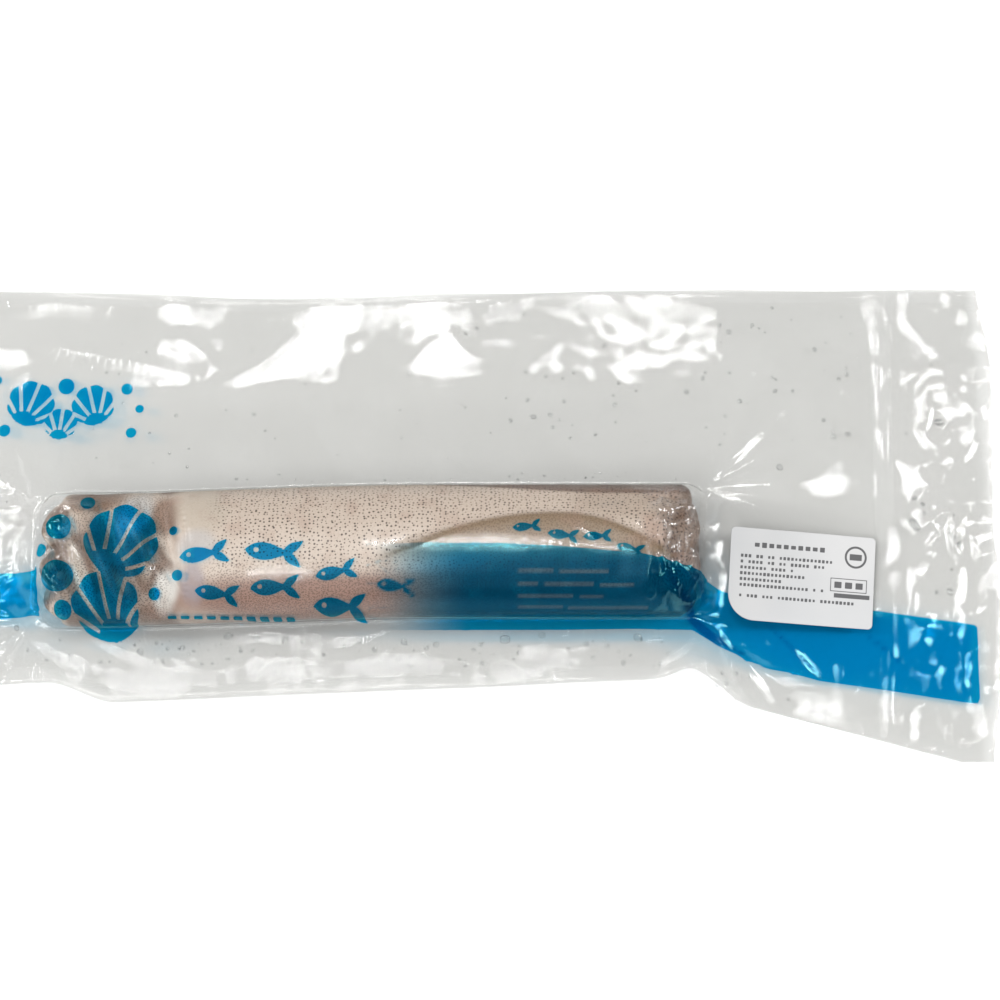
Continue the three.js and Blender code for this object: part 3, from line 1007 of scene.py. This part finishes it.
def skinMaterial():
    material, tree = newMaterial("squid_skin")
    place = objectPlace(tree)
    along = attribute(tree, "skinPlace").outputs["Vector"]
    tone = attribute(tree, "skinToneWithPaintedLight").outputs["Color"]
    spotted = attribute(tree, "spotted").outputs["Fac"]
    speckled = attribute(tree, "speckled").outputs["Fac"]
    blotch = spaceNoise(tree, place, skin["blotchScale"], 2.0)
    tone = mixColour(tree, ramp(tree, blotch, *skin["blotchAt"]), tone, skin["blotch"])
    inputs = {"Vector": along, "Scale": 1.0 / skin["spotPitch"], "Randomness": 0.7}
    cells = add(tree, "ShaderNodeTexVoronoi", inputs, voronoi_dimensions="2D")
    size = add(tree, "ShaderNodeSeparateColor", {0: cells.outputs["Color"]}).outputs[0]
    reach = ramp(tree, size, 0.0, 1.0, *skin["spotSize"])
    dots = ramp(tree, maths(tree, "SUBTRACT", reach, cells.outputs["Distance"]), *skin["spotSoft"])
    inputs = {"Vector": along, "Scale": 1.0 / skin["specklePitch"]}
    finer = add(tree, "ShaderNodeTexVoronoi", inputs, voronoi_dimensions="2D").outputs["Distance"]
    speckles = maths(tree, "MULTIPLY", ramp(tree, finer, *skin["speckleSize"]), speckled)
    marks = maths(tree, "MAXIMUM", maths(tree, "MULTIPLY", dots, spotted), speckles)
    colour = mixColour(tree, maths(tree, "MULTIPLY", marks, skin["markStrength"]), tone, skin["spot"])
    normal = bumped(tree, spaceNoise(tree, place, skin["grainScale"], 1.0), *skin["grain"])
    wet = ramp(tree, blotch, *skin["wet"])
    inputs = {"Base Color": colour, "Roughness": wet, "Normal": normal, "Specular IOR Level": 0.35}
    output(tree, add(tree, "ShaderNodeBsdfPrincipled", inputs).outputs[0])
    return material


def makeSquid():
    bm = bmesh.new()
    bmesh.ops.create_uvsphere(bm, u_segments=skin["around"], v_segments=skin["along"], radius=1.0)
    ball = np.array([v.co for v in bm.verts])
    lengthwise = np.arcsin(np.clip(ball[:, 2], -1.0, 1.0)) / (np.pi / 2)
    angle = np.arctan2(ball[:, 0], -ball[:, 1])  # 0 at the top, so the join is underneath
    inset = skin["clearance"]
    even = blendTo(lengthwise, np.sin(lengthwise * np.pi / 2), skin["closer"])
    x = blendTo(squid["left"] + inset, squid["right"] - inset, (even + 1.0) / 2.0)
    toLeft = (squid["left"] + squid["leftCap"] - x) / (squid["leftCap"] - inset)
    toRight = (x - squid["right"] + squid["rightCap"]) / (squid["rightCap"] - inset)
    closing = np.clip(np.maximum(toLeft, toRight), 0.0, 1.0)
    section = (1.0 - closing ** skin["capCorner"]) ** (1.0 / skin["capCorner"])
    across = np.sign(np.sin(angle)) * np.abs(np.sin(angle)) ** skin["corner"] * section
    upward = np.sign(np.cos(angle)) * np.abs(np.cos(angle)) ** skin["corner"] * section
    y = squidMiddle(x) + (squid["halfWidth"] - inset) * across
    rise = np.where(upward > 0.0, squid["thickness"] - squid["seam"], squid["seam"] * skin["underReach"])
    z = squid["seam"] + rise * upward + squidRelief(x, y) * np.maximum(upward, 0.0)
    z = np.minimum(z, bodyTop(x, y) - inset)
    lumps = 0.5 + 0.5 * wave((y + skin["lumpLean"] * z) / skin["lumpPitch"])
    atEnds = np.clip(toLeft, 0.0, 1.0) - skin["tailLump"] * np.clip(toRight, 0.0, 1.0)
    x = x + skin["lump"] * lumps * atEnds
    steepness, level = skin["upperSide"]
    top = smooth(upward * steepness + level)
    for curve, width, depth in skin["creases"]:
        z = z - depth * top * creaseAt(x, y, curve, width)
    depth, pitch = skin["dents"]
    z = z + depth * top * np.minimum(cloud(x, y, pitch, "skin"), 0.0)
    z = np.maximum(z, inset)
    move(bm, x, y, z)
    bmesh.ops.recalc_face_normals(bm, faces=bm.faces)
    (start, run), (least, byFin, byFront) = skin["spotsFrom"], skin["spotsLeft"]
    spotted = least + (1.0 - least) * smooth((x - start) / run)
    spotted = spotted * (1.0 - byFin * finAmount(x, y)) * (1.0 - byFront * frontAmount(y))
    start, run = skin["specklesAtTail"]
    amounts = (frontAmount(y), headAmount(x), finAmount(x, y), smooth((x - start) / run))
    fine = sum(share * amount for share, amount in zip(skin["speckles"], amounts))
    (collar, run), (least, most) = skin["head"], skin["speckleRange"]
    speckled = np.minimum(least + fine, most) * smooth(np.abs(x - collar) / run - skin["plainCollar"])
    beside = y - squidMiddle(x)
    girth = beside + np.sign(beside) * (squid["thickness"] - z)
    values = {
        "skinToneWithPaintedLight": skinTonesWithPaintedLight(x, y),
        "spotted": spotted,
        "speckled": speckled,
        "skinPlace": np.column_stack([x, girth, np.zeros(len(x))]),
    }
    return finishPiece(bm, "squid", skinMaterial(), None, values)


# Sticker: white paper on the margin, with plain blocks for its print

sticker = {
    "paper": 0.25,
    "lift": 0.35,  # above the film
    "columns": 240,
    "rows": 152,
    "corner": 2.0,
    "bentCorner": 11.0,  # the lower left one is rounder and hangs down
    "droop": (0.3, 0.9, 26.0, 22.0),  # depth, lean, from, over
    "curl": (0.5, 18.0, 14.0),  # right side: rise, from, over
    "buckle": (0.25, 50.0, 90.0),  # rise, length along and across
    "lineTops": (7.4, 5.0, 2.6, 0.2, -2.2, -4.6, -9.0),  # rows of print, from the sticker's middle
    "lineEnds": (15.0, 9.0, -3.0, 2.0, -8.0, 9.0, 22.0),
    "lineStart": -25.0,
    "letter": (1.15, 1.4),  # width and height of one plain mark
    "letterPitch": 1.6,
    "letterGaps": 0.12,  # share of the marks left out
    "title": (-19.0, 11.0, 12.2, 1.0, 3.0),  # from, to, level, half size, pitch
    "stamp": (22.0, 10.3, 4.6, 0.9),  # middle, radius, line
    "stampBlock": (0.55, 0.28),  # half sizes, as shares of the radius
    "box": (19.5, -1.6, 7.6, 2.8, 0.35),  # middle, half sizes, line
    "boxBlocks": (-4.4, 0.0, 4.4),
    "boxBlock": (1.5, 1.3),  # half sizes
    "bar": (21.0, -6.0, 7.4, 0.9),  # middle, half sizes
    "inkColour": (0.035, 0.035, 0.038, 1.0),
    "white": (0.50, 0.50, 0.50, 1.0),
    "greyWhite": (0.46, 0.465, 0.47, 1.0),
    "printEdge": 0.08,
    "printStrength": 0.9,
    "fibreScale": 900.0,
    "fibre": (0.25, 0.0001),  # strength, depth
    "roughness": (0.45, 0.62),
}


def stickerPlace(u, v):  # from the sticker's own width and height to the bag
    turn = math.radians(label["turn"])
    x = label["x"] + u * math.cos(turn) - v * math.sin(turn)
    y = label["y"] + u * math.sin(turn) + v * math.cos(turn)
    depth, lean, start, run = sticker["droop"]
    droop = depth * smooth((-u - v * lean - start) / run) ** 2
    rise, start, run = sticker["curl"]
    curl = rise * smooth((u - start) / run)
    rise, along, across = sticker["buckle"]
    curl = curl + rise * wave(u / along + v / across)
    z = labelPlane(x) + bag["sheet"] + sticker["lift"] + np.maximum(curl, -0.1) - droop
    return x, y, z


def roundCorners(u, v):  # draws the corners of the plain rectangle in to arcs
    isBent = (u < 0.0) & (v < 0.0)
    radius = np.where(isBent, sticker["bentCorner"], sticker["corner"])
    du = np.maximum(np.abs(u) - label["width"] / 2 + radius, 0.0)
    dv = np.maximum(np.abs(v) - label["height"] / 2 + radius, 0.0)
    scale = np.maximum(du, dv) / np.maximum(np.hypot(du, dv), 1e-6)
    scale = np.where((du > 0.0) & (dv > 0.0), scale, 1.0)
    return u - np.sign(u) * du * (1.0 - scale), v - np.sign(v) * dv * (1.0 - scale)


def boxInside(u, v, midU, midV, halfU, halfV):
    return np.minimum(halfU - np.abs(u - midU), halfV - np.abs(v - midV))


def stickerPrint(u, v):  # how far each point lies inside the plain marks
    draw = random.Random(5)
    inside = np.full(u.shape, -1e3)
    wide, high = sticker["letter"]
    for level, lineEnd in zip(sticker["lineTops"], sticker["lineEnds"]):
        start = sticker["lineStart"]
        while start < lineEnd:
            if draw.random() > sticker["letterGaps"]:
                size = draw.uniform(0.75, 1.0)
                mark = boxInside(u, v, start, level, wide / 2 * size, high / 2 * size)
                inside = np.maximum(inside, mark)
            start = start + sticker["letterPitch"]
    start, end, level, half, pitch = sticker["title"]
    for place in np.arange(start, end, pitch):
        inside = np.maximum(inside, boxInside(u, v, place, level, half, half * draw.uniform(0.7, 1.1)))
    midU, midV, radius, line = sticker["stamp"]
    away = np.hypot(u - midU, v - midV)
    inside = np.maximum(inside, line / 2 - np.abs(away - radius + line / 2))
    halfU, halfV = sticker["stampBlock"]
    inside = np.maximum(inside, boxInside(u, v, midU, midV, radius * halfU, radius * halfV))
    midU, midV, halfU, halfV, line = sticker["box"]
    frameLine = boxInside(u, v, midU, midV, halfU, halfV)
    inside = np.maximum(inside, np.minimum(frameLine, line - frameLine))
    for place in sticker["boxBlocks"]:
        inside = np.maximum(inside, boxInside(u, v, midU + place, midV, *sticker["boxBlock"]))
    return np.maximum(inside, boxInside(u, v, *sticker["bar"]))


def paperMaterial():
    material, tree = newMaterial("sticker_paper")
    place = objectPlace(tree)
    edge, soft = attribute(tree, "printInside").outputs["Fac"], sticker["printEdge"]
    printed = ramp(tree, edge, -soft, soft, 0.0, sticker["printStrength"])
    fibre = spaceNoise(tree, place, sticker["fibreScale"], 4.0)
    shade = ramp(tree, spaceNoise(tree, place, 30.0, 2.0), 0.3, 0.7)
    white = mixColour(tree, shade, sticker["white"], sticker["greyWhite"])
    colour = mixColour(tree, printed, white, sticker["inkColour"])
    inputs = {"Base Color": colour, "Roughness": ramp(tree, fibre, 0.2, 0.8, *sticker["roughness"])}
    inputs["Normal"] = bumped(tree, fibre, *sticker["fibre"])
    output(tree, add(tree, "ShaderNodeBsdfPrincipled", inputs).outputs[0])
    return material


def makeSticker():
    bm = bmesh.new()
    bmesh.ops.create_grid(bm, x_segments=sticker["columns"], y_segments=sticker["rows"], size=0.5)
    bmesh.ops.scale(bm, vec=(label["width"], label["height"], 1.0), verts=bm.verts)
    bmesh.ops.solidify(bm, geom=bm.verts[:] + bm.edges[:] + bm.faces[:], thickness=sticker["paper"])
    flat = np.array([v.co for v in bm.verts])
    u, v = roundCorners(flat[:, 0], flat[:, 1])
    isTop = flat[:, 2] > flat[:, 2].mean()
    x, y, z = stickerPlace(u, v)
    move(bm, x, y, z + np.where(isTop, sticker["paper"], 0.0))
    bmesh.ops.recalc_face_normals(bm, faces=bm.faces)
    values = {"printInside": np.where(isTop, stickerPrint(u, v), outside)}
    return finishPiece(bm, "sticker", paperMaterial(), "label", values)


# Water: drops on the film

water = {
    "clusters": [  # x range, y range, number, radius range
        ((-178.0, 12.0), (-60.0, -50.0), 80, (0.3, 0.85)),
        ((10.0, 92.0), (-60.0, -49.0), 24, (0.35, 1.0)),
        ((20.0, 168.0), (30.0, 92.0), 80, (0.3, 1.1)),
        ((-160.0, 20.0), (20.0, 88.0), 60, (0.28, 0.8)),
        ((-100.0, 92.0), (14.5, 19.0), 30, (0.25, 0.6)),
        ((104.0, 140.0), (-74.0, -60.0), 8, (0.5, 1.2)),
        ((185.0, 214.0), (-30.0, 70.0), 14, (0.5, 1.5)),
        ((-215.0, -175.0), (-52.0, 20.0), 14, (0.4, 1.0)),
    ],
    "single": [  # x, y, radius
        (21.0, -49.5, 1.9),
        (75.0, -49.0, 1.6),
        (36.0, -48.0, 1.1),
        (-7.0, -51.5, 1.2),
        (-20.0, -50.5, 1.3),
        (-32.0, -53.5, 1.0),
        (-68.0, -50.0, 1.1),
        (-80.0, -49.0, 1.5),
        (-91.0, -48.5, 1.4),
        (-110.0, -53.0, 1.0),
        (-127.0, -54.5, 1.3),
        (-177.0, -45.0, 1.2),
        (190.0, -1.0, 2.0),
        (134.0, 22.0, 1.3),
    ],
    "flatness": 0.55,
    "stretch": (0.8, 1.5),
    "sunk": 0.1,  # below the film's surface
    "detail": (3, 2),  # of the single drops, of the many small ones
    "middle": (0.97, 0.975, 0.975, 1.0),
    # the drops' dark edge is painted shade, standing in for the dark rim that bent light gives a drop
    "rim": (0.33, 0.34, 0.35, 1.0),
    "mirror": (0.05, 0.5),
}


def waterMaterial():
    material, tree = newMaterial("water")
    facing = add(tree, "ShaderNodeLayerWeight", {"Blend": 0.5}).outputs["Facing"]
    # painted shade: each drop's see-through colour darkens towards its edge
    tint = mixColour(tree, ramp(tree, facing, 0.25, 0.9), water["middle"], water["rim"])
    see = add(tree, "ShaderNodeBsdfTransparent", {"Color": tint}).outputs[0]
    shine = add(tree, "ShaderNodeBsdfAnisotropic", {"Roughness": 0.04}).outputs[0]
    mirror = ramp(tree, facing, 0.0, 1.0, *water["mirror"])
    output(tree, add(tree, "ShaderNodeMixShader", {0: mirror, 1: see, 2: shine}).outputs[0])
    return material


def makeDrops():
    draw = random.Random(11)
    drops = list(water["single"])
    for xRange, yRange, number, radii in water["clusters"]:
        for count in range(number):
            radius = blendTo(radii[0], radii[1], draw.random() ** 2)
            drops.append((draw.uniform(*xRange), draw.uniform(*yRange), radius))
    x, y, radius = (np.array(values) for values in zip(*drops))
    isTop = np.ones(len(x), bool)
    z = filmHeight(x, y, isTop)
    step = 0.5  # to either side, so the difference is the film's slope
    slopeX = (filmHeight(x + step, y, isTop) - filmHeight(x - step, y, isTop)).clip(-1.0, 1.0)
    slopeY = (filmHeight(x, y + step, isTop) - filmHeight(x, y - step, isTop)).clip(-1.0, 1.0)
    bm = bmesh.new()
    for number in range(len(drops)):
        tilt = Vector((-slopeX[number], -slopeY[number], 1.0)).to_track_quat("Z", "Y").to_matrix().to_4x4()
        spot = Matrix.Translation((x[number], y[number], z[number] - water["sunk"]))
        turn = Matrix.Rotation(draw.uniform(0.0, math.pi), 4, "Z")
        flat = Matrix.Diagonal((draw.uniform(*water["stretch"]), 1.0, water["flatness"], 1.0))
        shape = spot @ tilt @ turn @ flat
        detail = water["detail"][number >= len(water["single"])]
        bmesh.ops.create_icosphere(bm, subdivisions=detail, radius=radius[number], matrix=shape)
    return finishPiece(bm, "water_drops", waterMaterial())


# Stage: floor, light and camera

stage = {
    "floor": 3000.0,
    "floorDrop": 0.3,
    "floorColour": (0.94, 0.94, 0.94, 1.0),
    "world": 0.40,
    "lights": [  # place, aim, width, height, power
        ((-850, 100, 620), (-40, 0, 10), 190, 380, 6.0),
        ((880, 60, 640), (60, 0, 10), 190, 380, 6.0),
        ((-190, -255, 900), (-90, 60, 3), 360, 380, 3.2),
        ((-150, -927, 860), (-70, -58, 10), 130, 90, 1.2),
        ((10, 107, 900), (10, -14, 44), 210, 100, 2.4),
    ],
    "bounces": {
        "max_bounces": 6,
        "diffuse_bounces": 1,
        "glossy_bounces": 1,
        "transmission_bounces": 1,
        "transparent_max_bounces": 8,
    },
    "target": (19.0, 9.0, 6.0),
    "tilt": 9.0,
    "distance": 1100.0,
    "frameWidth": 412.0,
    "sensor": 36.0,
}


def makeStage():
    bm = bmesh.new()
    bmesh.ops.create_grid(bm, x_segments=4, y_segments=4, size=stage["floor"] / 2)
    bmesh.ops.translate(bm, vec=(0, 0, -stage["floorDrop"]), verts=bm.verts)
    bmesh.ops.scale(bm, vec=(mm, mm, mm), verts=bm.verts)
    mesh = bpy.data.meshes.new("floor")
    bm.to_mesh(mesh)
    bm.free()
    floor = bpy.data.objects.new("floor", mesh)
    scene.collection.objects.link(floor)
    material, tree = newMaterial("pale_floor")
    output(tree, add(tree, "ShaderNodeBsdfDiffuse", {"Color": stage["floorColour"]}).outputs[0])
    mesh.materials.append(material)
    for number, (place, aim, width, height, power) in enumerate(stage["lights"]):
        lamp = bpy.data.lights.new(f"softbox_{number}", "AREA")
        lamp.shape = "RECTANGLE"
        lamp.size = width * mm
        lamp.size_y = height * mm
        lamp.energy = power
        holder = bpy.data.objects.new(lamp.name, lamp)
        scene.collection.objects.link(holder)
        holder.location = Vector(place) * mm
        holder.rotation_euler = (Vector(aim) - Vector(place)).to_track_quat("-Z", "Y").to_euler()
    world = bpy.data.worlds.new("studio")
    scene.world = world
    world.use_nodes = True
    world.node_tree.nodes["Background"].inputs["Color"].default_value = (1.0, 1.0, 1.0, 1.0)
    world.node_tree.nodes["Background"].inputs["Strength"].default_value = stage["world"]
    world.cycles_visibility.glossy = False  # only the softboxes show in the film's shine
    scene.view_settings.view_transform = "Standard"
    for key, value in stage["bounces"].items():
        setattr(scene.cycles, key, value)
    scene.cycles.caustics_reflective = False
    scene.cycles.caustics_refractive = False
    print("stage set with", len(stage["lights"]), "lights")


def makeCamera():
    lens = bpy.data.cameras.new("camera")
    lens.sensor_width = stage["sensor"]
    lens.lens = stage["sensor"] * stage["distance"] / stage["frameWidth"]
    lens.clip_start = 0.01
    holder = bpy.data.objects.new("camera", lens)
    scene.collection.objects.link(holder)
    tilt = math.radians(stage["tilt"])
    back = Vector((0.0, -math.sin(tilt), math.cos(tilt))) * stage["distance"]
    holder.location = (Vector(stage["target"]) + back) * mm
    holder.rotation_euler = (tilt, 0.0, 0.0)
    scene.camera = holder
    print("camera set")


makeCamera()
makeStage()
makeFilm()
makeSquid()
makeSticker()
makeDrops()
